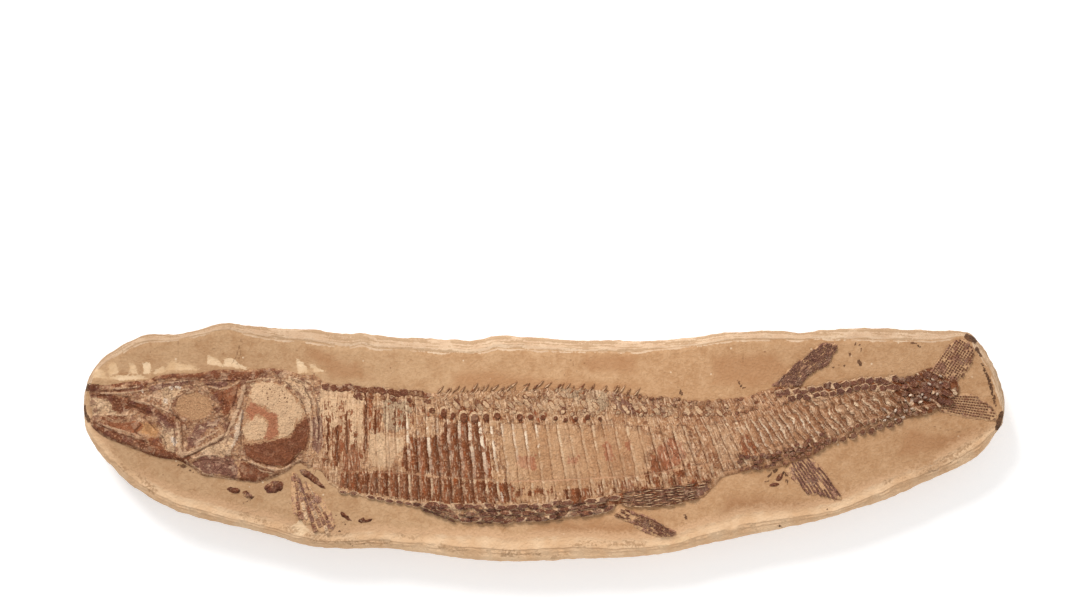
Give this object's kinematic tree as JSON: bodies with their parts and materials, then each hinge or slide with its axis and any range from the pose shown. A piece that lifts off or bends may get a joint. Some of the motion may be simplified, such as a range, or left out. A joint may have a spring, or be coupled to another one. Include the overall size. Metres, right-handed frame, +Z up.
{
  "type": "fossil fish slab",
  "caption": "Half of a split stone nodule with a complete long-snouted armoured fish in low relief: skull, round gill cover, tall flank scales, fins and forked tail, and loose bones beside it.",
  "frame": {"origin": "centre of the bounding box at the flat worn face that the slab rests on", "axes": "+X towards the fish's tail along the slab's length, +Y towards the fish's back, +Z up out of the split face"},
  "size_m": [0.5998, 0.155, 0.0422],
  "materials": {
    "limestone": "matte tan limestone, chipped to pale cream at the rim",
    "fossil_bone": "petrified bone and scale, dark glossy brown to matte tan, with cream and rust stains"
  },
  "bodies": {
    "root": {"stone": "limestone", "fish": "fossil_bone", "pectoral_fin": "fossil_bone", "pelvic_fin": "fossil_bone", "shoulder_bone": "fossil_bone", "throat_bone_1": "fossil_bone", "throat_bone_2": "fossil_bone", "throat_bone_3": "fossil_bone", "chest_bone_1": "fossil_bone", "chest_bone_2": "fossil_bone", "vent_bone_1": "fossil_bone", "vent_bone_2": "fossil_bone"}
  },
  "joints": []
}
